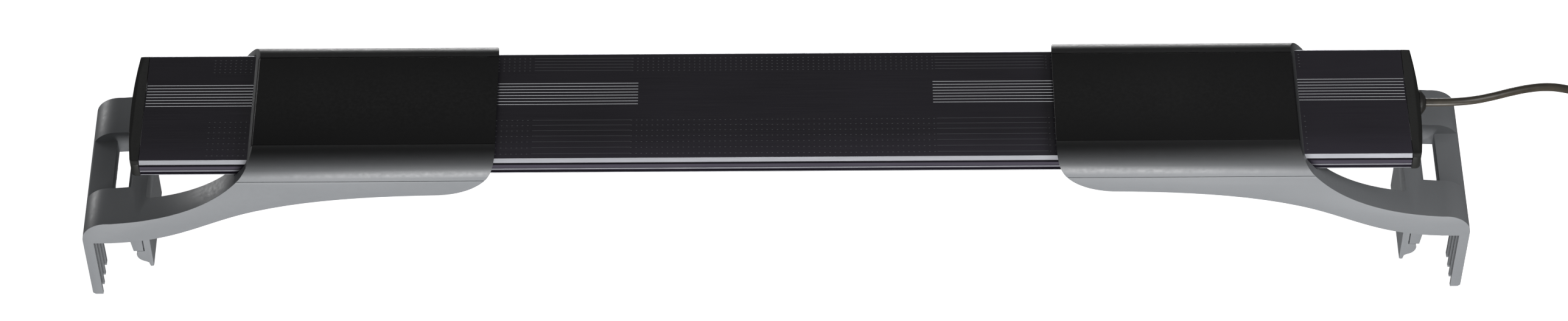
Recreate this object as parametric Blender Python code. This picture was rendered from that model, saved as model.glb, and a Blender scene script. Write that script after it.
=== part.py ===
"""LED aquarium light: a flat extruded light bar with two sliding end brackets that stand on a tank's end panes.

Units are metres. +X runs along the bar, -Y is the front, +Z is up, and the feet of the brackets stand at Z = 0.
"""

import math

import bmesh
import bpy
from mathutils import Matrix, Vector

# ---- driving dimensions ---------------------------------------------------------------------------------------

GAP = 0.0003                 # clearance kept between neighbouring pieces

BAR_TOP = 0.1175             # top face of the light bar
BAR_BOTTOM = 0.1055          # lower rim of the light bar
BAR_HALF_DEPTH = 0.0420      # front and back faces of the bar
BAR_BEVEL = 0.0020           # bevel along the bar's top edges
HOUSING_HALF = 0.3760        # the extrusion's ends
WEB_UNDERSIDE = 0.1153       # underside of the extrusion's top web
BOSS_Y = 0.0300              # screw bosses under the web
BOSS_Z = 0.1115

CAP_TIP = 0.3840             # outermost point of an end cap, on its bowed face
CAP_BOW = 0.0024             # how far the cap's face bows outwards
CAP_CORNER = 0.0030

BRACKET_HALF_DEPTH = 0.0493
BRACKET_TOP = 0.1236
SLEEVE_ROUND = 0.0155        # round along the sleeve's long top edges
ARM_ROUND = 0.0160           # round over the arms' outer ends
BRACKET_FACE = 0.4163        # outer face of the legs
LEG_INNER = 0.4101
LEG_SKIN = 0.0026
APRON_INNER = 0.0459         # inner faces of the aprons that hang beside the bar
GAP_CORNER = 0.0020          # round in the corners where the gap meets the strip
CREASE_Z = 0.1075            # crease that runs along the sleeve's front and back, just under the round
CREASE_WIDTH = 0.0005
CREASE_DEPTH = 0.0004
LEG_GAP_HALF = 0.0233
ARM_TOP = 0.0685
ARM_UNDERSIDE = 0.0500
OPENING_HALF = 0.0360        # half the gap between the arms under the bar, where the light comes out
GAP_HALF_AT_STRIP = 0.0320   # half the gap between the arms at the cross strip
WINDOW_HALF = 0.0216         # half the window beyond the cross strip
ARM_WALL = 0.0032
FIN_PITCH = 0.0074
FIN_THICKNESS = 0.0022
SLEEVE_CLEARANCE = 0.0004    # running clearance between the sleeve and the bar
SLEEVE_INNER_END = 0.1655
SLEEVE_OUTER_END = 0.3088
STRIP_INNER = 0.3778         # cross strip between the arms
STRIP_OUTER = 0.3878
WINDOW_OUTER = 0.4006
WALL_TOP = 0.0602            # low wall between the arms at their outer ends
COVER_HALF_DEPTH = 0.0337
COVER_THICKNESS = 0.0018

BLOCK_INNER = 0.3857         # fixed block that stands against the inside of the pane
BLOCK_OUTER = 0.3927
BLOCK_BOTTOM = 0.0158
CLIP_HALF_DEPTH = 0.0287
CLIP_INNER = 0.3808
CLIP_OUTER = 0.3851
CLIP_PIVOT = (0.38295, 0.0470)
CLIP_BOTTOM = 0.0008

BOARD_LENGTH = 0.2400
BOARD_GAP = 0.0040
BOARD_HALF_DEPTH = 0.0250
BOARD_TOP = 0.1150
BOARD_UNDERSIDE = 0.1134
CHIP_SIZE = 0.0050
CHIP_HEIGHT = 0.0010
CHIP_COLUMNS = 10
CHIP_ROW_Y = 0.0130

GLAND_Y = 0.0040
GLAND_Z = 0.1114
CORD_RADIUS = 0.0025
CORD_START = 0.3884          # where the cord leaves the gland
COIL_CENTRE = (0.5620, 0.0)
COIL_INNER = 0.0212
COIL_OUTER = 0.0370
COIL_BOTTOM = 0.0009
COIL_TOP = 0.0113
CONNECTOR_Y = -0.0435
CONNECTOR_Z = 0.0052
CONNECTOR_REAR = 0.5690
TAIL_BEND = 0.0240           # radius of the lead's bend into the connector
TAIL_START_Z = 0.0080        # where the lead comes off the coil's upper layer


# ---- helpers --------------------------------------------------------------------------------------------------

def clear_scene():
    """Remove whatever the scene holds."""
    for old in list(bpy.data.objects):
        bpy.data.objects.remove(old, do_unlink=True)


def material(name, colour, roughness, metallic=0.0, **sockets):
    """Make a Principled material; further sockets are given as keyword=value with _ for a space."""
    made = bpy.data.materials.new(name)
    made.use_nodes = True
    shader = made.node_tree.nodes["Principled BSDF"]
    shader.inputs["Base Color"].default_value = (*colour, 1.0)
    shader.inputs["Roughness"].default_value = roughness
    shader.inputs["Metallic"].default_value = metallic
    for socket, value in sockets.items():
        shader.inputs[socket.replace("_", " ")].default_value = value
    return made


def bezier(start, handle_a, handle_b, end, steps):
    """Points along a cubic curve, both ends included."""
    points = []
    for step in range(steps + 1):
        t = step / steps
        u = 1.0 - t
        weights = (u ** 3, 3 * u * u * t, 3 * u * t * t, t ** 3)
        points.append(tuple(
            sum(weight * point[axis] for weight, point in zip(weights, (start, handle_a, handle_b, end)))
            for axis in (0, 1)))
    return points


def arc(centre, radius, start_deg, end_deg, steps):
    """Points along a circular arc, both ends included."""
    points = []
    for step in range(steps + 1):
        angle = math.radians(start_deg + (end_deg - start_deg) * step / steps)
        points.append((centre[0] + radius * math.cos(angle), centre[1] + radius * math.sin(angle)))
    return points


def add_object(name, mesh_data, finish=None, smooth_deg=None):
    """Link a mesh to the scene as an object with one material."""
    made = bpy.data.objects.new(name, mesh_data)
    bpy.context.scene.collection.objects.link(made)
    if finish:
        mesh_data.materials.append(finish)
    if smooth_deg:
        mesh_data.shade_smooth()
        mesh_data.set_sharp_from_angle(angle=math.radians(smooth_deg))
    return made


def prism(name, outline, axis, low, high, finish=None, smooth_deg=None):
    """Extrude a flat outline along X (points are y, z), Y (points are x, z) or Z (points are x, y)."""
    places = {
        "X": lambda a, b, along: (along, a, b),
        "Y": lambda a, b, along: (a, along, b),
        "Z": lambda a, b, along: (a, b, along),
    }
    place = places[axis]
    shape = bmesh.new()
    face = shape.faces.new([shape.verts.new(place(a, b, low)) for a, b in outline])
    grown = bmesh.ops.extrude_face_region(shape, geom=[face])
    top = [item for item in grown["geom"] if isinstance(item, bmesh.types.BMVert)]
    bmesh.ops.translate(shape, verts=top, vec=Vector(place(0.0, 0.0, high - low)))
    bmesh.ops.recalc_face_normals(shape, faces=shape.faces)
    data = bpy.data.meshes.new(name)
    shape.to_mesh(data)
    shape.free()
    return add_object(name, data, finish, smooth_deg)


def box(name, x, y, z, finish=None):
    """Box between the low and high of each axis, in either order."""
    return prism(name, [(min(x), min(y)), (max(x), min(y)), (max(x), max(y)), (min(x), max(y))],
                 "Z", min(z), max(z), finish)


def turned(name, profile, steps, matrix, finish=None, smooth_deg=35, closed=False):
    """Turn a profile of (along, radius) points about X, then place it. A closed profile makes a ring or tube."""
    shape = bmesh.new()
    verts = [shape.verts.new((along, radius, 0.0)) for along, radius in profile]
    pairs = list(zip(verts, verts[1:]))
    if closed:
        pairs.append((verts[-1], verts[0]))
    edges = [shape.edges.new(pair) for pair in pairs]
    bmesh.ops.spin(shape, geom=verts + edges, cent=(0, 0, 0), axis=(1, 0, 0),
                   angle=math.tau, steps=steps, use_merge=True)
    bmesh.ops.remove_doubles(shape, verts=shape.verts, dist=1e-6)
    bmesh.ops.recalc_face_normals(shape, faces=shape.faces)
    bmesh.ops.transform(shape, matrix=matrix, verts=shape.verts)
    data = bpy.data.meshes.new(name)
    shape.to_mesh(data)
    shape.free()
    return add_object(name, data, finish, smooth_deg)


def combine(target, operation, *tools):
    """Apply Boolean tools to a target; the tools are hidden."""
    for tool in tools:
        step = target.modifiers.new(tool.name, "BOOLEAN")
        step.object = tool
        step.operation = operation
        step.solver = "EXACT"
        tool.hide_render = True
        tool.display_type = "WIRE"


def pin(name, radius, low, high, centre, axis="X", steps=12):
    """Round cutter along X or Z."""
    if axis == "X":
        place = Matrix.Translation((0.0, centre[0], centre[1]))
    else:
        place = Matrix.Translation((centre[0], centre[1], 0.0)) @ Matrix.Rotation(math.radians(-90), 4, "Y")
    return turned(name, [(low, 0.0), (low, radius), (high, radius), (high, 0.0)], steps, place)


def cable(name, route, radius, finish, resolution=2, spacing=None):
    """Round cable along a smooth curve through its route's own points, with filled ends."""
    points = smooth_route(route, spacing or radius * 5)
    data = bpy.data.curves.new(name, "CURVE")
    data.dimensions = "3D"
    data.bevel_depth = radius
    data.bevel_resolution = resolution
    data.use_fill_caps = True
    spline = data.splines.new("POLY")
    spline.points.add(len(points) - 1)
    for slot, place in zip(spline.points, points):
        slot.co = (*place, 1.0)
    data.materials.append(finish)
    made = bpy.data.objects.new(name, data)
    bpy.context.scene.collection.objects.link(made)
    return made


def smooth_route(route, spacing):
    """Points about spacing apart on a Catmull-Rom curve through the route's points."""
    places = [Vector(place) for place in route]
    places = [2 * places[0] - places[1]] + places + [2 * places[-1] - places[-2]]
    points = [places[1]]
    for before, start, end, after in zip(places, places[1:], places[2:], places[3:]):
        count = max(1, round((end - start).length / spacing))
        for step in range(1, count + 1):
            t = step / count
            points.append(0.5 * (2 * start + (end - before) * t
                                 + (2 * before - 5 * start + 4 * end - after) * t ** 2
                                 + (3 * start - before - 3 * end + after) * t ** 3))
    return points


def joint_empty(name, place, parent=None):
    """Empty on a joint's axis."""
    made = bpy.data.objects.new(name, None)
    made.empty_display_size = 0.02
    bpy.context.scene.collection.objects.link(made)
    made.location = place
    if parent:
        attach(made, parent)
    return made


def attach(child, parent):
    """Parent a piece to an empty and keep it where it is."""
    child.parent = parent
    child.matrix_parent_inverse = Matrix.Translation(world_place(parent)).inverted()


def world_place(item):
    """Place of an unrotated empty, whose parents' inverses keep its location in world terms."""
    return Vector(item.location)


# ---- light bar ------------------------------------------------------------------------------------------------

def both_sides(half):
    """Close a half outline of (y, z) points, given from the top outer corner inwards, with its mirror image."""
    return half + [(-y, z) for y, z in reversed(half)]


def bar_housing(finish):
    """Extruded channel: top web, grooved side walls, screw bosses and the slots that hold the lens cover."""
    side = BAR_HALF_DEPTH
    top = BAR_TOP
    groove_wall = side - 0.0014
    band = side - 0.0004
    slot_lip = side - 0.0057
    slot_floor = side - 0.0037
    half = [
        (side - BAR_BEVEL, top), (side, top - BAR_BEVEL),
        (groove_wall, top - BAR_BEVEL - 0.0003), (groove_wall, top - 0.0040),
        (band, top - 0.0043), (band, top - 0.0068), (side, top - 0.0072), (side, top - 0.0079),
        (band, top - 0.0082), (band, top - 0.0092), (groove_wall, top - 0.0094), (groove_wall, top - 0.0102),
        (side, top - 0.0105), (side, BAR_BOTTOM + 0.0008), (side - 0.0008, BAR_BOTTOM),
        (slot_lip, BAR_BOTTOM), (slot_lip, BAR_BOTTOM + 0.0012), (slot_floor, BAR_BOTTOM + 0.0012),
        (slot_floor, BAR_BOTTOM + 0.0034), (slot_lip, BAR_BOTTOM + 0.0034), (slot_lip, BAR_BOTTOM + 0.0046),
        (slot_floor, BAR_BOTTOM + 0.0046), (slot_floor, WEB_UNDERSIDE),
        (BOSS_Y + 0.003, WEB_UNDERSIDE), (BOSS_Y + 0.003, BOSS_Z - 0.0025),
        (BOSS_Y - 0.003, BOSS_Z - 0.0025), (BOSS_Y - 0.003, WEB_UNDERSIDE),
    ]
    made = prism("bar_housing", both_sides(half), "X", -HOUSING_HALF, HOUSING_HALF, finish)
    holes = [pin(f"boss_hole_{end}_{side_name}", 0.00155, low, high, (y, BOSS_Z))
             for end, low, high in (("left", -0.380, -0.367), ("right", 0.367, 0.380))
             for side_name, y in (("front", -BOSS_Y), ("back", BOSS_Y))]
    holes += [pin(f"web_hole_{number}", 0.0015, WEB_UNDERSIDE - 0.002, BAR_TOP - 0.0006, (x, 0.0), "Z")
              for number, x in enumerate(board_screw_places(), 1)]
    combine(made, "DIFFERENCE", *holes)
    return made


def board_centres():
    """Centres of the three boards along the bar."""
    step = BOARD_LENGTH + BOARD_GAP
    return (-step, 0.0, step)


def board_screw_places():
    """Two screws for each board."""
    return [centre + offset for centre in board_centres() for offset in (-0.099, 0.099)]


def led_boards(finish):
    """Circuit boards with their light-emitting chips, under the web."""
    chip_pitch = BOARD_LENGTH / CHIP_COLUMNS
    for name, centre in zip(("led_board_left", "led_board_centre", "led_board_right"), board_centres()):
        half = BOARD_LENGTH / 2
        board = box(name, (centre - half, centre + half), (-BOARD_HALF_DEPTH, BOARD_HALF_DEPTH),
                    (BOARD_UNDERSIDE, BOARD_TOP), finish)
        chips = bmesh.new()
        for column in range(CHIP_COLUMNS):
            for row_y in (-CHIP_ROW_Y, CHIP_ROW_Y):
                place = (centre - half + chip_pitch * (column + 0.5), row_y, BOARD_UNDERSIDE)
                bmesh.ops.create_cube(chips, matrix=Matrix.Translation(place)
                                      @ Matrix.Diagonal((CHIP_SIZE, CHIP_SIZE, 2 * CHIP_HEIGHT, 1.0)))
        data = bpy.data.meshes.new(name + "_chips")
        chips.to_mesh(data)
        chips.free()
        combine(board, "UNION", add_object(name + "_chips", data))
        combine(board, "DIFFERENCE", *[
            pin(f"{name}_hole_{number}", 0.0015, 0.110, 0.118, (centre + offset, 0.0), "Z")
            for number, offset in enumerate((-0.099, 0.099), 1)])


def board_screws(finish):
    """Pan-head screws that hold the boards to the web."""
    head_low = BOARD_UNDERSIDE - GAP - 0.0012
    head_high = BOARD_UNDERSIDE - GAP
    profile = [(head_low, 0.0), (head_low, 0.0019), (head_low + 0.0004, 0.0025), (head_high, 0.0025),
               (head_high, 0.0012), (BAR_TOP - 0.0010, 0.0012), (BAR_TOP - 0.0010, 0.0)]
    for number, x in enumerate(board_screw_places(), 1):
        place = Matrix.Translation((x, 0.0, 0.0)) @ Matrix.Rotation(math.radians(-90), 4, "Y")
        turned(f"board_screw_{number}", profile, 12, place, finish)


def wires(red, black):
    """Jumpers from board to board, and the two leads from the gland to the terminal block."""
    for number, (sign, y) in enumerate(((-1, 0.019), (-1, 0.022), (1, 0.019), (1, 0.022)), 1):
        x = sign * (BOARD_LENGTH + BOARD_GAP) / 2
        z = BOARD_UNDERSIDE - GAP - 0.0006
        route = [(x - 0.006, y, z), (x - 0.002, y, z - 0.0006), (x + 0.002, y, z - 0.0006), (x + 0.006, y, z)]
        cable(f"jumper_wire_{number}", route, 0.0006, red if number % 2 else black, 1)
    for name, y, finish in (("lead_wire_red", 0.0013, red), ("lead_wire_black", -0.0013, black)):
        start = (0.3773, GLAND_Y + y, GLAND_Z)
        end = (0.3583, GLAND_Y + 1.8 * y, GLAND_Z + 0.0008)
        route = [start, (0.3740, start[1], start[2]), (0.3680, GLAND_Y + 1.5 * y, GLAND_Z - 0.0002),
                 (0.3620, end[1], end[2]), end]
        cable(name, route, 0.0008, finish, 1)


def terminal_block(finish):
    """Two-way block under the right board where the lead ends."""
    block = box("terminal_block", (0.3500, 0.3580), (GLAND_Y - 0.005, GLAND_Y + 0.005),
                (0.1090, BOARD_UNDERSIDE - GAP), finish)
    combine(block, "DIFFERENCE", *[
        pin(f"terminal_screw_hole_{number}", 0.0012, 0.1080, 0.1105, (0.354, GLAND_Y + offset), "Z", 8)
        for number, offset in enumerate((-0.0024, 0.0024), 1)])


def lens_cover(finish):
    """Clear plate that slides into the housing's slots and closes it from below."""
    half = BAR_HALF_DEPTH - 0.0040
    low = BAR_BOTTOM + 0.0012 + GAP
    box("lens_cover", (-HOUSING_HALF + GAP, HOUSING_HALF - GAP), (-half, half), (low, low + 0.0016), finish)


def end_caps(cap_finish, seal_finish, screw_finish):
    """End caps with a bowed face, the gasket behind each one, and their screws."""
    side = BAR_HALF_DEPTH
    section = [(side - BAR_BEVEL, BAR_TOP), (side, BAR_TOP - BAR_BEVEL), (side, BAR_BOTTOM)]
    inner = HOUSING_HALF + GAP
    shoulder = side - CAP_CORNER
    bow_radius = shoulder ** 2 / (2 * CAP_BOW)
    for name, sign in (("left", -1), ("right", 1)):
        corner_x = CAP_TIP - CAP_BOW - CAP_CORNER
        plan = [(inner, side + 0.001), (corner_x, side + 0.001)]
        plan += arc((corner_x, shoulder), CAP_CORNER, 90, 0, 4)
        face_steps = 10
        plan += [(CAP_TIP - y * y / (2 * bow_radius), y)
                 for y in (shoulder - 2 * shoulder * step / face_steps for step in range(1, face_steps))]
        plan += [(x, -y) for x, y in reversed(arc((corner_x, shoulder), CAP_CORNER, 90, 0, 4))]
        plan += [(corner_x, -side - 0.001), (inner, -side - 0.001)]
        low, high = BAR_BOTTOM - 0.001, BAR_TOP + 0.001
        cap = prism(f"{name}_end_cap", [(sign * x, y) for x, y in plan], "Z", low, high,
                    cap_finish, 30)
        combine(cap, "INTERSECT", prism(f"{name}_cap_section", both_sides(section), "X", -0.45, 0.45))
        pocket_floor = inner + 0.0012
        combine(cap, "DIFFERENCE",
                box(f"{name}_cap_pocket", (sign * 0.370, sign * pocket_floor), (-0.0380, 0.0380), (0.1068, 0.1162)))
        gasket = box(f"{name}_end_gasket", (sign * inner, sign * (pocket_floor - GAP)),
                     (-0.0377, 0.0377), (0.1071, 0.1159), seal_finish)
        combine(gasket, "DIFFERENCE",
                box(f"{name}_gasket_opening", (sign * 0.370, sign * 0.380), (-0.0260, 0.0260), (0.1085, 0.1145)))
        for place, y in (("front", -BOSS_Y), ("back", BOSS_Y)):
            face = CAP_TIP - y * y / (2 * bow_radius)
            seat = face - 0.0018
            low, high = sorted((sign * 0.370, sign * 0.390))
            hole = pin(f"{name}_{place}_cap_hole", 0.0016, low, high, (y, BOSS_Z))
            bore_low, bore_high = sorted((sign * seat, sign * 0.390))
            counterbore = pin(f"{name}_{place}_counterbore", 0.0032, bore_low, bore_high, (y, BOSS_Z), steps=16)
            combine(cap, "DIFFERENCE", hole, counterbore)
            combine(gasket, "DIFFERENCE",
                    pin(f"{name}_{place}_gasket_hole", 0.0018, low, high, (y, BOSS_Z)))
            head = seat + GAP
            profile = [(0.3690, 0.0), (0.3690, 0.0012), (head, 0.0012), (head, 0.0028),
                       (head + 0.0009, 0.0028), (head + 0.0013, 0.0023), (head + 0.0013, 0.0)]
            turn = Matrix.Rotation(0.0 if sign > 0 else math.pi, 4, "Z")
            place_matrix = Matrix.Translation((0.0, y, BOSS_Z)) @ turn
            screw = turned(f"{name}_{place}_cap_screw", profile, 16, place_matrix, screw_finish)
            tip = sign * (head + 0.0020)
            floor = sign * (head + 0.0006)
            combine(screw, "DIFFERENCE",
                    box(f"{name}_{place}_cross_a", (floor, tip), (y - 0.0016, y + 0.0016),
                        (BOSS_Z - 0.0003, BOSS_Z + 0.0003)),
                    box(f"{name}_{place}_cross_b", (floor, tip), (y - 0.0003, y + 0.0003),
                        (BOSS_Z - 0.0016, BOSS_Z + 0.0016)))
        if sign > 0:
            combine(cap, "DIFFERENCE",
                    pin("gland_hole", 0.0035, 0.370, 0.390, (GLAND_Y, GLAND_Z), steps=16))


def cable_gland(finish):
    """Domed grommet in the right end cap, with its stem through the cap."""
    face = CAP_TIP + GAP
    stem_end = HOUSING_HALF + GAP + 0.0013
    profile = [(face, 0.0), (face, 0.0058), (face + 0.0006, 0.0058), (face + 0.0017, 0.0053),
               (face + 0.0027, 0.0043), (CORD_START - GAP, 0.0031), (CORD_START - GAP, 0.0)]
    place = Matrix.Translation((0.0, GLAND_Y, GLAND_Z))
    dome = turned("cable_gland", profile, 24, place @ Matrix.Diagonal((1.0, 1.45, 1.0, 1.0)), finish)
    combine(dome, "UNION", pin("gland_stem", 0.0032, stem_end, face + 0.001, (GLAND_Y, GLAND_Z), steps=16))


# ---- cord -----------------------------------------------------------------------------------------------------

def cord(jacket, tie_finish, body_finish, metal):
    """Low-voltage lead: the stretch over the right bracket, its coil on the floor, the tie and the connector."""
    centre_x, centre_y = COIL_CENTRE
    floor_run = COIL_BOTTOM + CORD_RADIUS
    route = [
        (CORD_START, GLAND_Y, GLAND_Z), (0.3960, 0.0040, 0.1114), (0.4060, 0.0043, 0.1114),
        (0.4170, 0.0058, 0.1110), (0.4290, 0.0095, 0.1099), (0.4410, 0.0147, 0.1078),
        (0.4530, 0.0202, 0.1044), (0.4650, 0.0252, 0.0996), (0.4760, 0.0291, 0.0934),
        (0.4870, 0.0322, 0.0858), (0.4970, 0.0340, 0.0775), (0.5050, 0.0349, 0.0680),
        (0.5103, 0.0352, 0.0570), (0.5133, 0.0353, 0.0450), (0.5160, 0.0353, 0.0335),
        (0.5202, 0.0350, 0.0225), (0.5265, 0.0347, 0.0135), (0.5335, 0.0345, 0.0080),
        (0.5410, 0.0345, floor_run + 0.0013),
    ]
    cable("cord_lead", route, CORD_RADIUS, jacket, 3, 0.0065)
    ring = [(COIL_BOTTOM, COIL_INNER + 0.001), (COIL_BOTTOM, COIL_OUTER - 0.001),
            (COIL_BOTTOM + 0.0015, COIL_OUTER), (COIL_TOP - 0.0015, COIL_OUTER),
            (COIL_TOP, COIL_OUTER - 0.001), (COIL_TOP, COIL_INNER + 0.001),
            (COIL_TOP - 0.0015, COIL_INNER), (COIL_BOTTOM + 0.0015, COIL_INNER)]
    upright = Matrix.Translation((centre_x, centre_y, 0.0)) @ Matrix.Rotation(math.radians(-90), 4, "Y")
    turned("cord_coil", ring, 40, upright, jacket, 30, closed=True)
    bend_centre = (centre_x + COIL_OUTER - CORD_RADIUS - TAIL_BEND, CONNECTOR_Y + TAIL_BEND)
    bend = arc(bend_centre, TAIL_BEND, -3, -90, 6)
    drop = (TAIL_START_Z - CONNECTOR_Z) / 6
    tail = [(x, y, TAIL_START_Z - drop * step) for step, (x, y) in enumerate(bend)]
    tail += [(CONNECTOR_REAR + GAP, CONNECTOR_Y, CONNECTOR_Z)]
    cable("cord_tail", tail, CORD_RADIUS, jacket, 3, 0.0060)
    low, high = COIL_BOTTOM - GAP, COIL_TOP + GAP
    inner, outer = centre_x - COIL_OUTER - GAP, centre_x - COIL_INNER + GAP + 0.0004
    strap = 0.0005
    tie = prism("cord_tie", [(inner - strap, low - strap), (outer + strap, low - strap),
                             (outer + strap, high + strap), (inner - strap, high + strap)],
                "Y", -0.0040, 0.0040, tie_finish)
    combine(tie, "DIFFERENCE", box("tie_inside", (inner, outer), (-0.0050, 0.0050), (low, high)))
    along = Matrix.Translation((CONNECTOR_REAR, CONNECTOR_Y, CONNECTOR_Z)) @ Matrix.Rotation(math.pi, 4, "Z")
    body = [(0.0, 0.0), (0.0, 0.0031), (0.0110, 0.0040), (0.0120, 0.0050), (0.0340, 0.0050),
            (0.0350, 0.0044), (0.0350, 0.0)]
    turned("connector_body", body, 16, along, body_finish)
    barrel = [(0.0353, 0.0), (0.0353, 0.00275), (0.0443, 0.00275), (0.0448, 0.0023), (0.0448, 0.0011),
              (0.0363, 0.0011), (0.0363, 0.0)]
    turned("connector_barrel", barrel, 16, along, metal)


# ---- brackets -------------------------------------------------------------------------------------------------

def arm_top_curve():
    """Upper edge of the arms, from the sleeve's outer top edge down to the flat top."""
    return bezier((SLEEVE_OUTER_END, BRACKET_TOP), (0.3130, 0.1176), (0.3300, 0.0738), (0.3980, ARM_TOP), 24)


def bracket_outline():
    """Side outline of sleeve, arm and leg as (x, z) points, for the right bracket."""
    outline = bezier((SLEEVE_INNER_END, BRACKET_TOP), (0.1675, 0.1095), (0.1780, 0.0959), (0.2000, 0.0944), 16)
    outline += bezier((0.2000, 0.0944), (0.2400, 0.0938), (0.2780, 0.0905), (0.3100, 0.0801), 10)[1:]
    outline += bezier((0.3100, 0.0801), (0.3420, 0.0700), (0.3580, 0.0520), (0.4000, ARM_UNDERSIDE), 16)[1:]
    outline += [(LEG_INNER, ARM_UNDERSIDE), (LEG_INNER, 0.0),
                (BRACKET_FACE - 0.0015, 0.0), (BRACKET_FACE, 0.0015)]
    round_centre = (BRACKET_FACE - ARM_ROUND, ARM_TOP - ARM_ROUND)
    outline += arc(round_centre, ARM_ROUND, 0, 90, 14)
    outline += list(reversed(arm_top_curve()))
    return outline


def bracket(name, sign, finish):
    """Sleeve round the bar with a front and a back arm, their legs, the cross strip and the fixed block."""
    def flip(points):
        return [(sign * x, other) for x, other in points]

    def cut_box(label, x, y, z):
        return box(f"{name}_{label}", (sign * x[0], sign * x[1]), y, z)

    made = prism(f"{name}_bracket", flip(bracket_outline()), "Y", -0.060, 0.060, finish, 30)
    shoulder = (BRACKET_HALF_DEPTH - SLEEVE_ROUND, BRACKET_TOP - SLEEVE_ROUND)
    round_edge = arc(shoulder, SLEEVE_ROUND, 90, 0, 16)
    section = both_sides(round_edge + [(BRACKET_HALF_DEPTH, -0.010)])
    combine(made, "INTERSECT", prism(f"{name}_section", section, "X", -0.450, 0.450))

    side = BAR_HALF_DEPTH + SLEEVE_CLEARANCE
    low, high = BAR_BOTTOM - SLEEVE_CLEARANCE, BAR_TOP + SLEEVE_CLEARANCE
    channel = both_sides([(side - BAR_BEVEL, high), (side, high - BAR_BEVEL), (side, low)])
    combine(made, "DIFFERENCE", prism(f"{name}_channel", channel, "X", *sorted((sign * 0.140, sign * 0.450))))

    apron_inside = cut_box("apron_inside", (0.140, 0.300), (-APRON_INNER, APRON_INNER), (-0.010, 0.1021))
    combine(made, "DIFFERENCE", apron_inside)
    corner = (STRIP_INNER - GAP_CORNER, GAP_HALF_AT_STRIP - GAP_CORNER)
    edge = [(0.140, OPENING_HALF), (0.300, OPENING_HALF), (0.330, OPENING_HALF - 0.001)]
    edge += arc(corner, GAP_CORNER, 90, 0, 4)
    plan = edge + [(x, -y) for x, y in reversed(edge)]
    combine(made, "DIFFERENCE", prism(f"{name}_light_opening", flip(plan), "Z", -0.010, 0.110))

    gap = (-WINDOW_HALF, WINDOW_HALF)
    combine(made, "DIFFERENCE",
            cut_box("window", (STRIP_OUTER, WINDOW_OUTER), gap, (0.040, 0.080)),
            cut_box("wall_recess", (WINDOW_OUTER - 0.0001, 0.430), gap, (WALL_TOP, 0.080)),
            cut_box("leg_gap", (0.400, 0.430), (-LEG_GAP_HALF, LEG_GAP_HALF), (-0.010, ARM_UNDERSIDE)),
            cut_box("cover_seat", (0.140, 0.340), (-COVER_HALF_DEPTH - GAP, COVER_HALF_DEPTH + GAP),
                    (BRACKET_TOP - COVER_THICKNESS - GAP, 0.130)))

    upper = [(x, z - ARM_WALL) for x, z in arm_top_curve() if 0.320 < x < 0.373]
    inner_pocket = [(0.310, 0.040), (0.310, upper[0][1])] + upper
    inner_pocket += [(0.3745, upper[-1][1] - 0.0004), (0.3745, 0.040)]
    pocket_roof = ARM_TOP - ARM_WALL
    outer_pocket = [(0.3965, 0.040), (0.3965, pocket_roof), (0.4033, pocket_roof),
                    (0.4069, pocket_roof - 0.0035), (0.4069, 0.040)]
    for end, sense in (("front", -1), ("back", 1)):
        crease_floor = sense * (BRACKET_HALF_DEPTH - CREASE_DEPTH)
        combine(made, "DIFFERENCE", cut_box(f"{end}_crease", (0.140, 0.450), (crease_floor, sense * 0.060),
                                            (CREASE_Z, CREASE_Z + CREASE_WIDTH)))
        outer_wall = sense * (BRACKET_HALF_DEPTH - ARM_WALL)
        combine(made, "DIFFERENCE",
                prism(f"{name}_{end}_inner_pocket", flip(inner_pocket), "Y",
                      *sorted((sense * (OPENING_HALF + 0.0016), outer_wall))),
                prism(f"{name}_{end}_outer_pocket", flip(outer_pocket), "Y",
                      *sorted((sense * (WINDOW_HALF + ARM_WALL), outer_wall))))
        for number in range(3):
            groove = BRACKET_HALF_DEPTH - FIN_THICKNESS - FIN_PITCH * number
            combine(made, "DIFFERENCE",
                    cut_box(f"{end}_groove_{number}", (0.400, BRACKET_FACE - LEG_SKIN),
                            (sense * groove, sense * (groove - FIN_PITCH + FIN_THICKNESS)),
                            (-0.010, ARM_UNDERSIDE - 0.0001)))
    block_top = ARM_UNDERSIDE + 0.0030
    relief = BLOCK_OUTER - 0.0005
    block_outline = [(BLOCK_INNER, block_top), (BLOCK_INNER, BLOCK_BOTTOM),
                     (BLOCK_OUTER - 0.0010, BLOCK_BOTTOM), (BLOCK_OUTER, BLOCK_BOTTOM + 0.0090),
                     (BLOCK_OUTER, ARM_UNDERSIDE - 0.0009), (relief, ARM_UNDERSIDE - 0.0006), (relief, block_top)]
    combine(made, "UNION",
            prism(f"{name}_block", flip(block_outline), "Y", -CLIP_HALF_DEPTH, CLIP_HALF_DEPTH))
    return made


def sleeve_cover(name, sign, finish):
    """Flat cover let into the top of the sleeve."""
    low = BRACKET_TOP - COVER_THICKNESS
    outline = [(SLEEVE_INNER_END + 0.0003, low), (SLEEVE_INNER_END, BRACKET_TOP),
               (SLEEVE_OUTER_END, BRACKET_TOP), (SLEEVE_OUTER_END + 0.0011, low)]
    return prism(f"{name}_sleeve_cover", [(sign * x, z) for x, z in outline], "Y",
                 -COVER_HALF_DEPTH, COVER_HALF_DEPTH, finish)


def glass_clip(name, sign, finish):
    """Springy tongue beside the block, with a nose below it."""
    pivot_x, pivot_z = CLIP_PIVOT
    radius = (CLIP_OUTER - CLIP_INNER) / 2
    outline = arc((pivot_x, pivot_z), radius, 0, 180, 8)
    outline += [(CLIP_INNER, CLIP_BOTTOM + 0.0006), (CLIP_INNER + 0.0006, CLIP_BOTTOM),
                (0.3830, CLIP_BOTTOM), (0.3836, CLIP_BOTTOM + 0.0034)]
    nose_top = BLOCK_BOTTOM - GAP
    outline += bezier((0.3850, 0.0052), (0.3885, 0.0064), (0.3903, 0.0086), (0.3903, 0.0122), 5)
    outline += [(0.3897, nose_top), (CLIP_OUTER, nose_top)]
    return prism(f"{name}_glass_clip", [(sign * x, z) for x, z in outline], "Y",
                 -CLIP_HALF_DEPTH, CLIP_HALF_DEPTH, finish, 30)


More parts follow.
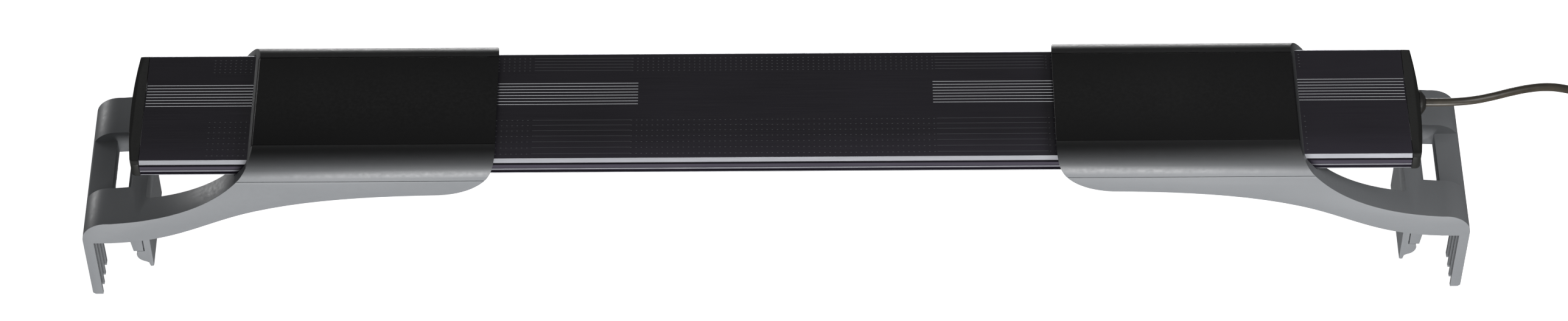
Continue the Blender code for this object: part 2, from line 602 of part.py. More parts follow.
def brackets(plastic, gloss):
    """Both bracket assemblies, each on an empty that slides along the bar."""
    for name, sign in (("left", -1), ("right", 1)):
        slide = joint_empty(f"{name}_bracket_slide_axis", (sign * 0.2370, 0.0, 0.1106))
        flex = joint_empty(f"{name}_clip_flex_axis", (sign * CLIP_PIVOT[0], 0.0, CLIP_PIVOT[1]), slide)
        attach(bracket(name, sign, plastic), slide)
        attach(sleeve_cover(name, sign, gloss), slide)
        attach(glass_clip(name, sign, plastic), flex)


def main():
    """Build the whole light."""
    clear_scene()
    anodised = material("anodised_aluminium", (0.016, 0.015, 0.022), 0.38, 0.85)
    board = material("white_board", (0.80, 0.80, 0.76), 0.45)
    clear = material("clear_acrylic", (0.92, 0.95, 0.96), 0.06, Transmission_Weight=0.9, IOR=1.49)
    cap_plastic = material("black_cap_plastic", (0.012, 0.012, 0.012), 0.55)
    silicone = material("grey_silicone", (0.30, 0.31, 0.32), 0.6)
    steel = material("screw_steel", (0.55, 0.55, 0.56), 0.3, 1.0)
    plastic = material("grey_bracket_plastic", (0.196, 0.204, 0.214), 0.46)
    gloss = material("black_cover_plastic", (0.008, 0.008, 0.008), 0.30)
    jacket = material("cord_jacket", (0.045, 0.038, 0.028), 0.40)
    red = material("red_wire", (0.50, 0.02, 0.02), 0.45)
    black = material("black_wire", (0.02, 0.02, 0.02), 0.45)
    green = material("terminal_plastic", (0.55, 0.55, 0.52), 0.5)
    nickel = material("nickel_plate", (0.70, 0.69, 0.66), 0.22, 1.0)

    bar_housing(anodised)
    led_boards(board)
    board_screws(steel)
    wires(red, black)
    terminal_block(green)
    lens_cover(clear)
    end_caps(cap_plastic, silicone, steel)
    cable_gland(cap_plastic)
    cord(jacket, black, black, nickel)
    brackets(plastic, gloss)


main()
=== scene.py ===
"""Looks of the LED aquarium light: its materials, printed marks, lead, floor, light and camera.

Everything is in metres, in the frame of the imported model: +X along the bar, -Y front, +Z up.
"""

import math

import bmesh
import bpy
from mathutils import Matrix, Vector


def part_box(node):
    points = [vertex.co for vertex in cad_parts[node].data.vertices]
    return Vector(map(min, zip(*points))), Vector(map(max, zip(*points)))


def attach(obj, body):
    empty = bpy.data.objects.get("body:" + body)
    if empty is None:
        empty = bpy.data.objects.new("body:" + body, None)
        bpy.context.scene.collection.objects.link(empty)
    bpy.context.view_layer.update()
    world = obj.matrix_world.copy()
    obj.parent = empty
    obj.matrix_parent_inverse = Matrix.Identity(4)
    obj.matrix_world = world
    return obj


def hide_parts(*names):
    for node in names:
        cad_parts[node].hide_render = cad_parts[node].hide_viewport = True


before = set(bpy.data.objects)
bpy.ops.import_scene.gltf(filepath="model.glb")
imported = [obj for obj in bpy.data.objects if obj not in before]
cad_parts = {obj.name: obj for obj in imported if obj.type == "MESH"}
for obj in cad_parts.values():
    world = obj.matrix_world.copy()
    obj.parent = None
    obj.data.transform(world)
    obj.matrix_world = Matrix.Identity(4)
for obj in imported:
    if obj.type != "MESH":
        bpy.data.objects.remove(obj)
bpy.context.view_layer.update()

BAR_LOW, BAR_HIGH = (Vector(corner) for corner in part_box("bar_housing"))


# ---- camera ---------------------------------------------------------------------------------------------------

CAMERA_ELEVATION = math.radians(51.0)
CAMERA_ROLL = math.radians(-0.33)
CAMERA_TARGET = Vector((0.0049, 0.0037, 0.0600))
CAMERA_DISTANCE = 2.712
CAMERA_LENS = 102.7


def place_camera():
    """Long lens looking down on the front of the bar."""
    back = Vector((0.0, -math.cos(CAMERA_ELEVATION), math.sin(CAMERA_ELEVATION)))
    level = Vector((1.0, 0.0, 0.0))
    upright = back.cross(level)
    right = math.cos(CAMERA_ROLL) * level + math.sin(CAMERA_ROLL) * upright
    up = math.cos(CAMERA_ROLL) * upright - math.sin(CAMERA_ROLL) * level
    lens = bpy.data.cameras.new("camera")
    lens.sensor_width = 36.0
    lens.lens = CAMERA_LENS
    camera = bpy.data.objects.new("camera", lens)
    camera.matrix_world = Matrix.Translation(CAMERA_TARGET + back * CAMERA_DISTANCE) @ Matrix(
        (right, up, back)).transposed().to_4x4()
    bpy.context.scene.collection.objects.link(camera)
    bpy.context.scene.camera = camera


# ---- helpers --------------------------------------------------------------------------------------------------

def link(name, data, body, finish):
    """Object from mesh or curve data, with a material, riding on a body."""
    made = bpy.data.objects.new(name, data)
    bpy.context.scene.collection.objects.link(made)
    data.materials.append(finish)
    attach(made, body)
    return made


def mesh_from(shape, name):
    """Mesh from a bmesh with its faces pointing out."""
    bmesh.ops.recalc_face_normals(shape, faces=shape.faces)
    data = bpy.data.meshes.new(name)
    shape.to_mesh(data)
    shape.free()
    return data


def add_prism(shape, outline, low, high, place):
    """Add a closed prism to a bmesh: place turns an outline point and a height into a location."""
    bottom = [shape.verts.new(place(a, b, low)) for a, b in outline]
    top = [shape.verts.new(place(a, b, high)) for a, b in outline]
    shape.faces.new(bottom)
    shape.faces.new(top)
    count = len(outline)
    for index in range(count):
        after = (index + 1) % count
        shape.faces.new((bottom[index], bottom[after], top[after], top[index]))


class Material:
    """Principled material with a few ways to add procedural detail."""

    def __init__(self, name, colour, roughness, metallic=0.0, **sockets):
        self.made = bpy.data.materials.new(name)
        self.made.use_nodes = True
        self.tree = self.made.node_tree
        self.shader = self.tree.nodes["Principled BSDF"]
        self.shader.inputs["Base Color"].default_value = (*colour, 1.0)
        self.shader.inputs["Roughness"].default_value = roughness
        self.shader.inputs["Metallic"].default_value = metallic
        self.colour = colour
        self.roughness = roughness
        self.bump_out = None
        for socket, value in sockets.items():
            self.shader.inputs[socket.replace("_", " ")].default_value = value
        self.place = self.node("ShaderNodeTexCoord").outputs["Object"]

    def node(self, kind, **inputs):
        """New node with input values or links."""
        new = self.tree.nodes.new(kind)
        for key, value in inputs.items():
            socket = new.inputs[key.replace("_", " ")]
            if isinstance(value, bpy.types.NodeSocket):
                self.tree.links.new(value, socket)
            else:
                socket.default_value = value
        return new

    def noise(self, scale, detail=3.0, stretch=(1.0, 1.0, 1.0), rough=0.5):
        """Noise value; stretch scales each axis of the texture's place."""
        mapped = self.node("ShaderNodeMapping", Vector=self.place, Scale=stretch)
        noise = self.node("ShaderNodeTexNoise", Vector=mapped.outputs[0], Scale=scale, Detail=detail,
                          Roughness=rough)
        return noise.outputs["Fac"]

    def cells(self, scale):
        """Distance to the nearest cell point: a moulded, pebbled grain."""
        return self.node("ShaderNodeTexVoronoi", Vector=self.place, Scale=scale).outputs["Distance"]

    def remap(self, value, low, high, start=0.3, end=0.7):
        """Spread the part of a value between start and end over low to high."""
        spread = self.node("ShaderNodeMapRange", Value=value)
        for key, number in zip(("From Min", "From Max", "To Min", "To Max"), (start, end, low, high)):
            spread.inputs[key].default_value = number
        return spread.outputs[0]

    def add(self, first, second):
        """Sum of two values, each a node's output or a number."""
        total = self.node("ShaderNodeMath")
        for socket, value in zip(total.inputs, (first, second)):
            if isinstance(value, bpy.types.NodeSocket):
                self.tree.links.new(value, socket)
            else:
                socket.default_value = value
        return total.outputs[0]

    def axis(self, name):
        """Place along one axis of the object."""
        return self.node("ShaderNodeSeparateXYZ", Vector=self.place).outputs[name]

    def vary_colour(self, value, low, high):
        """Scale the colour between low and high times its own value."""
        mix = self.tree.nodes.new("ShaderNodeMix")
        mix.data_type = "RGBA"
        self.tree.links.new(value, mix.inputs["Factor"])
        sockets = [socket for socket in mix.inputs if socket.type == "RGBA"]
        sockets[0].default_value = (*[min(1.0, channel * low) for channel in self.colour], 1.0)
        sockets[1].default_value = (*[min(1.0, channel * high) for channel in self.colour], 1.0)
        output = next(socket for socket in mix.outputs if socket.type == "RGBA")
        self.tree.links.new(output, self.shader.inputs["Base Color"])
        return self

    def vary_roughness(self, value, low, high):
        """Vary the roughness between low and high."""
        self.tree.links.new(self.remap(value, low, high), self.shader.inputs["Roughness"])
        return self

    def bump(self, value, distance, strength=1.0):
        """Raise the surface by a value times a distance; several calls add up."""
        node = self.node("ShaderNodeBump", Height=value, Distance=distance, Strength=strength)
        if self.bump_out:
            self.tree.links.new(self.bump_out, node.inputs["Normal"])
        self.bump_out = node.outputs["Normal"]
        self.tree.links.new(self.bump_out, self.shader.inputs["Normal"])
        return self


# ---- materials ------------------------------------------------------------------------------------------------

def anodised_aluminium():
    """Black-violet anodising with the fine lengthwise grain of an extrusion, and a painted sheen that makes it
    paler towards its front edge.
    """
    made = Material("anodised_aluminium", (0.033, 0.029, 0.041), 0.34, 0.15, Specular_IOR_Level=0.3)
    grain = made.noise(1.0, 4.0, (30.0, 2600.0, 2600.0))
    cloud = made.remap(made.noise(18.0, 2.0, (0.6, 1.0, 1.0)), 0.0, 0.25)
    # Painted sheen: the colour is lightened towards the housing's front edge.
    edge = made.remap(made.axis("Y"), 0.75, 0.0, -BAR_HIGH.y, -0.5 * BAR_HIGH.y)
    made.vary_colour(made.add(cloud, edge), 0.60, 1.5)
    made.vary_roughness(grain, 0.30, 0.44)
    return made.bump(grain, 0.000008).bump(made.noise(9000.0, 2.0), 0.000004).made


def cut_aluminium(name, colour, roughness, metallic=1.0):
    """Bare aluminium of a machined edge or an engraved line, also used for painted highlights."""
    made = Material(name, colour, roughness, metallic)
    grain = made.noise(1.0, 3.0, (60.0, 4000.0, 4000.0))
    made.vary_colour(made.remap(grain, 0.0, 1.0), 0.88, 1.06)
    made.vary_roughness(grain, roughness * 0.8, roughness * 1.25)
    return made.bump(grain, 0.000006).made


# Painted shade: the bracket's plastic is darkened with height over the top of its sleeve.
PAINTED_SHADE_FROM = 0.1080          # heights between which the bracket's plastic turns from grey to black
PAINTED_SHADE_FULL = 0.1232
# Share of that height, and the share of the colour that the painted shade leaves there.
SLEEVE_PAINTED_SHADE_STOPS = [(0.0, 0.80), (0.25, 0.66), (0.55, 0.38), (0.80, 0.18), (1.0, 0.05)]


def bracket_plastic():
    """Grey moulded plastic with a fine matt grain, and painted shade that darkens it to near black over the top
    of its sleeve.
    """
    made = Material("grey_bracket_plastic", (0.245, 0.255, 0.268), 0.46)
    cloud = made.remap(made.noise(9.0, 3.0), -0.04, 0.04)
    # Painted shade ramp over the sleeve's top, by height.
    painted_shade = made.node("ShaderNodeValToRGB", Fac=made.remap(made.axis("Z"), 0.0, 1.0, PAINTED_SHADE_FROM, PAINTED_SHADE_FULL))
    stops = painted_shade.color_ramp.elements
    for spot, share in SLEEVE_PAINTED_SHADE_STOPS:
        stop = stops[0] if spot == 0.0 else stops[-1] if spot == 1.0 else stops.new(spot)
        stop.color = (*[channel * share for channel in made.colour], 1.0)
    tint = made.node("ShaderNodeHueSaturation", Color=painted_shade.outputs["Color"], Value=made.add(cloud, 1.0))
    made.tree.links.new(tint.outputs["Color"], made.shader.inputs["Base Color"])
    grain = made.cells(2600.0)
    made.vary_roughness(made.noise(420.0, 2.0), 0.42, 0.52)
    return made.bump(grain, 0.00003, 0.55).bump(made.noise(60.0, 2.0), 0.00004, 0.35).made


def cover_plastic():
    """Black moulded plastic of the covers let into the sleeves."""
    made = Material("black_cover_plastic", (0.0075, 0.0075, 0.0078), 0.42, Specular_IOR_Level=0.3)
    made.vary_colour(made.remap(made.noise(14.0, 3.0), 0.0, 1.0), 0.8, 1.3)
    made.vary_roughness(made.noise(500.0, 2.0), 0.36, 0.48)
    return made.bump(made.cells(3200.0), 0.00002, 0.4).made


def cap_plastic():
    """Matt black plastic of the end caps."""
    made = Material("black_cap_plastic", (0.0100, 0.0104, 0.0092), 0.55, Specular_IOR_Level=0.25,
                    Coat_Weight=0.35, Coat_Roughness=0.10)
    made.vary_colour(made.remap(made.noise(40.0, 3.0), 0.0, 1.0), 0.85, 1.2)
    made.vary_roughness(made.noise(700.0, 2.0), 0.48, 0.62)
    return made.bump(made.cells(3000.0), 0.000025, 0.5).made


def rubber(name, colour, roughness):
    """Soft rubber or silicone: matt, with a faint mottle."""
    made = Material(name, colour, roughness)
    made.vary_colour(made.remap(made.noise(120.0, 3.0), 0.0, 1.0), 0.85, 1.15)
    made.vary_roughness(made.noise(900.0, 2.0), roughness * 0.9, roughness * 1.1)
    return made.bump(made.noise(2400.0, 3.0), 0.00003, 0.5).made


def cord_jacket():
    """Brown-black PVC jacket with a slight sheen and the ripple of the cores under it."""
    made = Material("cord_jacket", (0.045, 0.038, 0.028), 0.40, Coat_Weight=0.15, Coat_Roughness=0.35)
    made.vary_colour(made.remap(made.noise(160.0, 3.0), 0.0, 1.0), 0.8, 1.25)
    made.vary_roughness(made.noise(700.0, 2.0), 0.34, 0.47)
    return made.bump(made.noise(1500.0, 3.0), 0.00003, 0.4).made


def metal(name, colour, roughness, grain_scale=3000.0):
    """Bright metal with a fine turned or rolled grain."""
    made = Material(name, colour, roughness, 1.0)
    grain = made.noise(grain_scale, 3.0)
    made.vary_colour(made.remap(made.noise(300.0, 2.0), 0.0, 1.0), 0.9, 1.08)
    made.vary_roughness(grain, roughness * 0.75, roughness * 1.3)
    return made.bump(grain, 0.000008, 0.6).made


def board_mask():
    """White solder mask with the copper's traces just showing through."""
    made = Material("white_board", (0.78, 0.79, 0.76), 0.35)
    traces = made.node("ShaderNodeTexBrick", Vector=made.place, Scale=40.0)
    traces.inputs["Mortar Size"].default_value = 0.03
    made.vary_colour(traces.outputs["Fac"], 1.0, 0.88)
    made.vary_roughness(made.noise(300.0, 2.0), 0.30, 0.42)
    return made.bump(traces.outputs["Fac"], 0.00003).made


def phosphor():
    """Yellow silicone over a white light-emitting chip."""
    made = Material("chip_phosphor", (0.86, 0.62, 0.10), 0.28, Subsurface_Weight=0.2, Subsurface_Scale=0.001)
    made.vary_colour(made.remap(made.noise(1500.0, 3.0), 0.0, 1.0), 0.9, 1.1)
    return made.bump(made.noise(4000.0, 2.0), 0.00002).made


def clear_acrylic():
    """Clear cover plate with a faint drawn ripple."""
    made = Material("clear_acrylic", (0.94, 0.97, 0.98), 0.05, Transmission_Weight=1.0, IOR=1.49)
    made.vary_roughness(made.noise(200.0, 2.0), 0.03, 0.09)
    return made.bump(made.noise(1.0, 2.0, (8.0, 160.0, 160.0)), 0.00003, 0.4).made


def hard_plastic(name, colour, roughness):
    """Plain moulded plastic with a light grain."""
    made = Material(name, colour, roughness)
    made.vary_colour(made.remap(made.noise(150.0, 3.0), 0.0, 1.0), 0.9, 1.1)
    made.vary_roughness(made.noise(800.0, 2.0), roughness * 0.88, roughness * 1.12)
    return made.bump(made.cells(2800.0), 0.00002, 0.4).made


def floor_paint():
    """White, evenly lit sweep that the light stands on."""
    made = Material("white_floor", (0.80, 0.80, 0.80), 0.9, Emission_Strength=FLOOR_GLOW)
    made.shader.inputs["Emission Color"].default_value = (1.0, 1.0, 1.0, 1.0)
    return made.bump(made.noise(20.0, 2.0), 0.0002, 0.1).made


# ---- floor and light ------------------------------------------------------------------------------------------

FLOOR_GLOW = 0.97
FLOOR_SIZE = 40.0
FLOOR_DROP = 0.0002          # keeps the floor clear of the feet
WORLD_GLOW = 0.12
LIGHT_TARGET = (0.0, 0.0, 0.09)
RIGHT_END = (0.36, 0.0, 0.07)

# Name, place, target, size and power of each softbox.
SOFTBOXES = [
    ("front_light", (0.0, -2.90, -0.72), LIGHT_TARGET, (1.8, 0.6), 125.0),
    ("back_light", (0.0, 2.90, -0.72), LIGHT_TARGET, (1.8, 0.6), 40.0),
    ("right_light", (0.95, -0.35, 0.75), RIGHT_END, (0.5, 0.5), 4.2),
    ("sheen_light", (0.0, 2.05, 2.60), LIGHT_TARGET, (2.6, 1.2), 4.9),
    ("bevel_light", (0.0, -2.30, 1.95), LIGHT_TARGET, (4.0, 0.5), 5.0),
    ("rim_light", (-2.90, 2.30, 0.25), LIGHT_TARGET, (1.0, 0.5), 30.0),
]


def lay_floor():
    """Large white floor that neither shades the object nor shows in its reflections."""
    shape = bmesh.new()
    bmesh.ops.create_grid(shape, x_segments=1, y_segments=1, size=FLOOR_SIZE)
    bmesh.ops.translate(shape, verts=shape.verts, vec=(0.0, 0.0, -FLOOR_DROP))
    data = bpy.data.meshes.new("floor")
    shape.to_mesh(data)
    shape.free()
    data.materials.append(floor_paint())
    floor = bpy.data.objects.new("floor", data)
    bpy.context.scene.collection.objects.link(floor)
    floor.visible_diffuse = False
    floor.visible_glossy = False
    floor.visible_shadow = False


def softbox(name, place, target, size, power):
    """Rectangular area light that faces its target."""
    light = bpy.data.lights.new(name, "AREA")
    light.shape = "RECTANGLE"
    light.size, light.size_y = size
    light.energy = power
    made = bpy.data.objects.new(name, light)
    made.location = place
    made.rotation_euler = (Vector(target) - Vector(place)).to_track_quat("-Z", "Y").to_euler()
    made.visible_camera = False
    bpy.context.scene.collection.objects.link(made)


def light_scene():
    """Softboxes and a dim sky. The front and back ones stand below the floor's level, so fronts are bright."""
    world = bpy.data.worlds.new("studio")
    world.use_nodes = True
    sky = world.node_tree.nodes["Background"]
    sky.inputs["Color"].default_value = (1.0, 1.0, 1.0, 1.0)
    sky.inputs["Strength"].default_value = WORLD_GLOW
    bpy.context.scene.world = world
    bpy.context.scene.view_settings.view_transform = "Standard"
    for box in SOFTBOXES:
        softbox(*box)


# ---- lead -----------------------------------------------------------------------------------------------------

CORD_RADIUS = 0.0025
COIL_CENTRE = (0.5620, 0.0)
COIL_INNER_RUN = 0.0239
COIL_PITCH = 0.0053          # from turn to turn, sideways and upwards
COIL_FLOOR = 0.0034          # height of the lowest turns' middle
POINTS_PER_TURN = 16
CONNECTOR_END = (0.5692, -0.0435, 0.0052)
TAIL_LEAVE = [(-0.0070, 0.0001), (-0.0135, 0.0004)]     # y, and drop below the coil's last turn
TAIL_BEND = 0.0240
TAIL_BEND_START = -3.0       # degrees at which the bend starts and that it goes round, clockwise from above
TAIL_BEND_SWEEP = 87.0
TAIL_BEND_STEPS = 6
TAIL_START_Z = 0.0080

LEAD_ROUTE = [
    (0.3884, 0.0040, 0.1114), (0.3960, 0.0040, 0.1114), (0.4060, 0.0043, 0.1114),
    (0.4170, 0.0058, 0.1110), (0.4290, 0.0095, 0.1099), (0.4410, 0.0147, 0.1078),
    (0.4530, 0.0202, 0.1044), (0.4650, 0.0252, 0.0996), (0.4760, 0.0291, 0.0934),
    (0.4870, 0.0322, 0.0858), (0.4970, 0.0340, 0.0775), (0.5050, 0.0349, 0.0680),
    (0.5103, 0.0352, 0.0570), (0.5133, 0.0353, 0.0450), (0.5160, 0.0353, 0.0335),
    (0.5202, 0.0350, 0.0225), (0.5265, 0.0347, 0.0135), (0.5335, 0.0345, 0.0080),
    (0.5410, 0.0345, 0.0047), (0.5510, 0.0345, 0.0036),
]

# Turn at which the lead is in each column (0 inner, 2 outer) and layer of the coil; it shifts in between.
COIL_SLOTS = [
    (0.000, 2, 0), (0.764, 2, 0), (0.917, 1, 0), (1.764, 1, 0), (1.917, 0, 0), (2.597, 0, 0),
    (2.750, 0, 1), (3.431, 0, 1), (3.583, 1, 1), (4.431, 1, 1), (4.583, 2, 1), (5.250, 2, 1),
]


def coil_point(turn):
    """Place on the coil, which runs clockwise seen from above and starts at its +Y side."""
    for (start, column, layer), (end, next_column, next_layer) in zip(COIL_SLOTS, COIL_SLOTS[1:]):
        if turn <= end:
            break
    share = (turn - start) / (end - start)
    ease = share * share * (3.0 - 2.0 * share)
    radius = COIL_INNER_RUN + COIL_PITCH * (column + (next_column - column) * ease)
    height = COIL_FLOOR + COIL_PITCH * (layer + (next_layer - layer) * ease)
    angle = math.tau * turn
    return (COIL_CENTRE[0] + radius * math.sin(angle), COIL_CENTRE[1] + radius * math.cos(angle), height)


def power_cord(jacket):
    """The whole lead as one smooth curve: over the bracket, down to its coil, and into the connector."""
    points = list(LEAD_ROUTE)
    last_turn = COIL_SLOTS[-1][0]
    steps = round(last_turn * POINTS_PER_TURN)
    points += [coil_point(last_turn * step / steps) for step in range(steps + 1)]
    leave_x, _, leave_z = points[-1]
    points += [(leave_x, y, leave_z - sink) for y, sink in TAIL_LEAVE]
    centre = (leave_x - TAIL_BEND, CONNECTOR_END[1] + TAIL_BEND)
    drop = (TAIL_START_Z - CONNECTOR_END[2]) / TAIL_BEND_STEPS
    for step in range(TAIL_BEND_STEPS + 1):
        angle = math.radians(TAIL_BEND_START - TAIL_BEND_SWEEP * step / TAIL_BEND_STEPS)
        points.append((centre[0] + TAIL_BEND * math.cos(angle), centre[1] + TAIL_BEND * math.sin(angle),
                       TAIL_START_Z - drop * step))
    points.append(CONNECTOR_END)
    data = bpy.data.curves.new("power_cord", "CURVE")
    data.dimensions = "3D"
    data.bevel_depth = CORD_RADIUS
    data.bevel_resolution = 5
    data.resolution_u = 5
    data.use_fill_caps = True
    spline = data.splines.new("BEZIER")
    spline.bezier_points.add(len(points) - 1)
    for point, place in zip(spline.bezier_points, points):
        point.co = place
        point.handle_left_type = point.handle_right_type = "AUTO"
    cord = link("power_cord", data, "light_bar", jacket)
    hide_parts("cord_lead", "cord_coil", "cord_tail")


# ---- marks on the bar -----------------------------------------------------------------------------------------

MARK_FOOT = 0.00001          # gap between a mark's underside and the bar's top
LINE_COUNT = 8
LINE_FIRST_Y = 0.0174
LINE_PITCH = 0.0023
LINE_HALF_WIDTH = 0.00021
LINE_HEIGHT = 0.00004
LINE_SPANS = {"left": (-0.3755, -0.0820), "right": (0.0940, 0.3755)}

DOT_RADIUS = 0.00050
DOT_HEIGHT = 0.00003
DOT_STEP = 0.0031
FINE_DOT_RADIUS = 0.00020
FINE_DOT_STEP = 0.0008
DOT_STRETCHES = [(-0.3362, -0.1448), (-0.0856, 0.0950), (0.1624, 0.3160)]
FINE_STRETCHES = [(-0.1440, -0.0862), (0.0960, 0.1616)]
FRONT_ROWS = [-0.0110 - 0.00385 * row - 0.00007 * row * row for row in range(7)]
BACK_ROWS = [0.0371 - 0.00238 * row for row in range(5)]


def on_top(a, b, height):
    """Place on the bar's top face."""
    return (a, b, BAR_HIGH.z + height)


def bar_lines(finish):
    """Eight fine bare lines along each end of the bar's top."""
    for name, (start, end) in LINE_SPANS.items():
        shape = bmesh.new()
        for number in range(LINE_COUNT):
            y = LINE_FIRST_Y - LINE_PITCH * number
            low, high = y - LINE_HALF_WIDTH, y + LINE_HALF_WIDTH
            outline = [(start, low), (end, low), (end, high), (start, high)]
            add_prism(shape, outline, MARK_FOOT, LINE_HEIGHT, on_top)
        link(f"bar_lines_{name}", mesh_from(shape, f"bar_lines_{name}"), "light_bar", finish)


def crescent(x, y):
    """Outline of a painted highlight: the lit front edge of a small round dimple."""
    outer = [(x + DOT_RADIUS * math.cos(angle), y + 0.7 * DOT_RADIUS * math.sin(angle))
             for angle in (math.radians(190 + 32 * step) for step in range(6))]
    inner = [(x + 0.55 * DOT_RADIUS * side, y - 0.26 * DOT_RADIUS) for side in (1, -1)]
    return outer + inner


def speck(x, y):
    """Outline of a dimple of the finer stretches."""
    return [(x + FINE_DOT_RADIUS * math.cos(angle), y + FINE_DOT_RADIUS * math.sin(angle))
            for angle in (math.tau * step / 5 for step in range(5))]


def bar_dots(finish):
    """Rows of small dimples along the bar's top drawn as light marks, the coarser ones as painted highlights on
    their lit front edges; finer and closer on two stretches.
    """
    for name, rows in (("front", FRONT_ROWS), ("back", BACK_ROWS)):
        shape = bmesh.new()
        for stretches, step, outline in (
                (DOT_STRETCHES, DOT_STEP, crescent), (FINE_STRETCHES, FINE_DOT_STEP, speck)):
            for start, end in stretches:
                for column in range(int((end - start) / step) + 1):
                    for y in rows:
                        add_prism(shape, outline(start + step * column, y), MARK_FOOT, DOT_HEIGHT, on_top)
        link(f"bar_dots_{name}", mesh_from(shape, f"bar_dots_{name}"), "light_bar", finish)


EDGE_BEVEL = 0.0020          # width and drop of the housing's long top bevels
END_INSET = 0.0002           # how far the strips and trims stop short of the housing's ends


def bevel_trims(finish):
    """Bare machined faces along the housing's two long top bevels."""
    for name, side in (("front", -1), ("back", 1)):
        edge = BAR_HIGH.y
        skin = 0.00006
        inset = 0.00008
        outline = [(edge - EDGE_BEVEL + inset, BAR_HIGH.z - inset),
                   (edge - inset, BAR_HIGH.z - EDGE_BEVEL + inset),
                   (edge - inset + skin, BAR_HIGH.z - EDGE_BEVEL + inset + skin),
                   (edge - EDGE_BEVEL + inset + skin, BAR_HIGH.z - inset + skin)]
        shape = bmesh.new()
        add_prism(shape, outline, BAR_LOW.x + END_INSET, BAR_HIGH.x - END_INSET,
                  lambda y, z, x: (x, side * y, z))
        link(f"bevel_trim_{name}", mesh_from(shape, f"bevel_trim_{name}"), "light_bar", finish)


# Strips along the housing's side faces, painted highlights on its ridges and painted shade in its slots: depths
# below its top of their upper and lower edge, and their inset.
# Painted highlights: light strips along the housing's two ridges.
RIDGE_HIGHLIGHT_STRIPS = {"ridge_painted_highlight": (0.0072, 0.0079, 0.0), "lip_painted_highlight": (0.0106, 0.0110, 0.0)}
# Painted shade: black strips laid inside the two slots.
SLOT_SHADE_STRIPS = {"upper_slot_painted_shade": (0.0024, 0.0040, 0.0014), "lower_slot_painted_shade": (0.0094, 0.0102, 0.0014)}
STRIP_SKIN = 0.00005         # how far a strip stands out from its face


def side_strips(strips, finish):
    """Painted highlights along the ridges and painted shade in the slots of the housing's front and back faces.
    """
    for name, (upper, lower, inset) in strips.items():
        face = BAR_HIGH.y - inset
        skin = face + STRIP_SKIN
        outline = [(face, BAR_HIGH.z - upper), (face, BAR_HIGH.z - lower),
                   (skin, BAR_HIGH.z - lower), (skin, BAR_HIGH.z - upper)]
        shape = bmesh.new()
        for side in (-1, 1):
            add_prism(shape, outline, BAR_LOW.x + END_INSET, BAR_HIGH.x - END_INSET,
                      lambda y, z, x: (x, side * y, z))
        link(f"housing_{name}", mesh_from(shape, f"housing_{name}"), "light_bar", finish)


# ---- details inside -------------------------------------------------------------------------------------------

CHIP_COLUMNS = 10
CHIP_ROW_Y = 0.0130
CHIP_UNDERSIDE = 0.1124
DOME_RADII = (0.0021, 0.0021, 0.0007)


def chip_lenses(finish):
    """Round phosphor dome under each light-emitting chip."""
    for side in ("left", "centre", "right"):
        low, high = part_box(f"led_board_{side}")
        pitch = (high[0] - low[0]) / CHIP_COLUMNS
        shape = bmesh.new()
        for column in range(CHIP_COLUMNS):
            for y in (-CHIP_ROW_Y, CHIP_ROW_Y):
                place = Matrix.Translation((low[0] + pitch * (column + 0.5), y, CHIP_UNDERSIDE))
                flat = Matrix.Diagonal((*DOME_RADII, 1.0))
                bmesh.ops.create_uvsphere(shape, u_segments=20, v_segments=10, radius=1.0, matrix=place @ flat)
        data = mesh_from(shape, f"chip_lenses_{side}")
        data.shade_smooth()
        link(f"chip_lenses_{side}", data, "light_bar", finish)


# ---- finishes on the frame's own nodes ------------------------------------------------------------------------

SMOOTH_ANGLE = math.radians(30.0)
FLAT_ANGLE = math.radians(0.3)
WELD_DISTANCE = 0.00001
EDGE_RADII = {
    "end_cap": 0.0005,
    "bracket": 0.0004,
    "sleeve_cover": 0.0003,
    "glass_clip": 0.0003,
    "connector_body": 0.0004,
    "cord_tie": 0.0002,
    "terminal_block": 0.0003,
}


def finish_nodes(finishes):
    """Give every CAD node its material by the words in its name."""
    for name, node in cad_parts.items():
        key = next(word for word in finishes if word in name)
        node.data.materials.clear()
        node.data.materials.append(finishes[key])


def smooth_by_angle():
    """Modifier group that shades faces smooth and keeps the edges sharper than SMOOTH_ANGLE."""
    group = bpy.data.node_groups.new("smooth_by_angle", "GeometryNodeTree")
    for way in ("INPUT", "OUTPUT"):
        group.interface.new_socket("Geometry", in_out=way, socket_type="NodeSocketGeometry")
    source = group.nodes.new("NodeGroupInput")
    stripped = group.nodes.new("GeometryNodeRemoveAttribute")
    stripped.inputs["Name"].default_value = "custom_normal"
    faces = group.nodes.new("GeometryNodeSetShadeSmooth")
    faces.domain = "FACE"
    edges = group.nodes.new("GeometryNodeSetShadeSmooth")
    edges.domain = "EDGE"
    angle = group.nodes.new("GeometryNodeInputMeshEdgeAngle")
    soft = group.nodes.new("FunctionNodeCompare")
    soft.operation = "LESS_THAN"
    soft.inputs["B"].default_value = SMOOTH_ANGLE
    sink = group.nodes.new("NodeGroupOutput")
    group.links.new(source.outputs["Geometry"], stripped.inputs["Geometry"])
    group.links.new(stripped.outputs["Geometry"], faces.inputs["Geometry"])
    group.links.new(faces.outputs["Geometry"], edges.inputs["Geometry"])
    group.links.new(angle.outputs["Unsigned Angle"], soft.inputs["A"])
    group.links.new(soft.outputs["Result"], edges.inputs["Shade Smooth"])
    group.links.new(edges.outputs["Geometry"], sink.inputs["Geometry"])
    return group


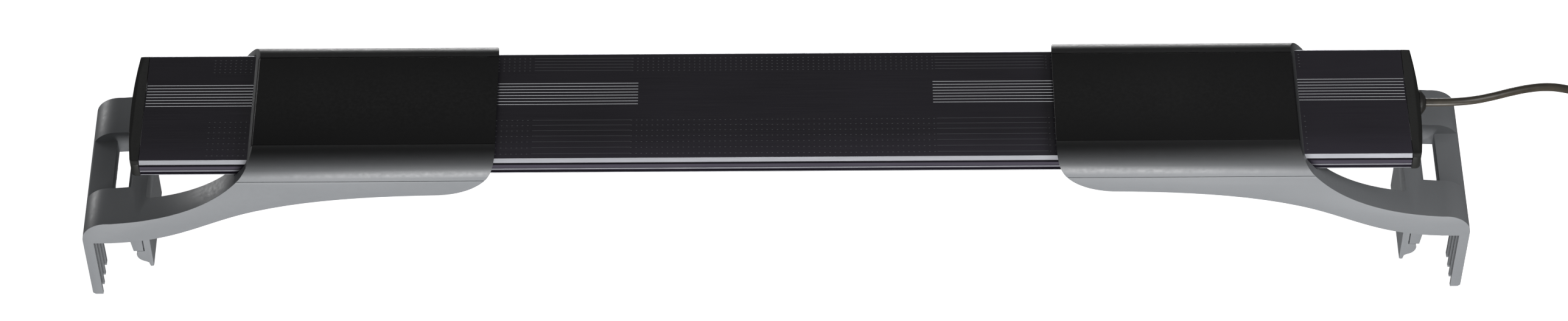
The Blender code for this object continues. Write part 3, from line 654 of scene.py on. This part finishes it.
def refine_nodes():
    """Join each node's facets, round its edges where it is moulded, and shade its curves smooth."""
    shading = smooth_by_angle()
    for name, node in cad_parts.items():
        weld = node.modifiers.new("join_facets", "WELD")
        weld.merge_threshold = WELD_DISTANCE
        flat = node.modifiers.new("join_flats", "DECIMATE")
        flat.decimate_type = "DISSOLVE"
        flat.angle_limit = FLAT_ANGLE
        width = next((size for word, size in EDGE_RADII.items() if word in name), 0.0)
        if width:
            bevel = node.modifiers.new("edge_radius", "BEVEL")
            bevel.width = width
            bevel.segments = 3
            bevel.limit_method = "ANGLE"
            bevel.angle_limit = SMOOTH_ANGLE
            bevel.use_clamp_overlap = True
        node.modifiers.new("shading", "NODES").node_group = shading


def main():
    """Build the scene."""
    place_camera()
    lay_floor()
    light_scene()
    bare = cut_aluminium("bare_line", (0.62, 0.63, 0.66), 0.22)
    # Satin aluminium for painted highlights: the strips on the housing's ridges and the dimples' light marks.
    highlight_satin = cut_aluminium("satin_painted_highlight", (0.30, 0.31, 0.33), 0.40, 0.4)
    bevelled = cut_aluminium("bare_bevel", (0.68, 0.69, 0.74), 0.36, 0.6)
    # Black plastic for the painted shade inside the housing's slots.
    slot_shade = hard_plastic("slot_painted_shade", (0.003, 0.003, 0.003), 0.7)
    jacket = cord_jacket()
    steel = metal("screw_steel", (0.56, 0.56, 0.57), 0.30)
    plastic = bracket_plastic()
    red = hard_plastic("red_wire", (0.50, 0.02, 0.02), 0.42)
    finish_nodes({
        "bar_housing": anodised_aluminium(),
        "board_screw": steel,
        "cap_screw": steel,
        "led_board": board_mask(),
        "jumper_wire_1": red,
        "jumper_wire_3": red,
        "wire_red": red,
        "wire": hard_plastic("black_wire", (0.02, 0.02, 0.02), 0.42),
        "terminal_block": hard_plastic("terminal_plastic", (0.55, 0.55, 0.52), 0.5),
        "lens_cover": clear_acrylic(),
        "end_cap": cap_plastic(),
        "gasket": rubber("grey_silicone", (0.30, 0.31, 0.32), 0.6),
        "cable_gland": rubber("gland_rubber", (0.016, 0.015, 0.013), 0.5),
        "cord_tie": hard_plastic("tie_plastic", (0.015, 0.015, 0.015), 0.5),
        "cord": jacket,
        "connector_body": hard_plastic("connector_plastic", (0.018, 0.018, 0.018), 0.45),
        "connector_barrel": metal("nickel_plate", (0.70, 0.69, 0.66), 0.20),
        "sleeve_cover": cover_plastic(),
        "bracket": plastic,
        "glass_clip": plastic,
    })
    refine_nodes()
    bar_lines(bare)
    bar_dots(highlight_satin)
    bevel_trims(bevelled)
    side_strips(RIDGE_HIGHLIGHT_STRIPS, highlight_satin)
    side_strips(SLOT_SHADE_STRIPS, slot_shade)
    chip_lenses(phosphor())
    power_cord(jacket)


main()
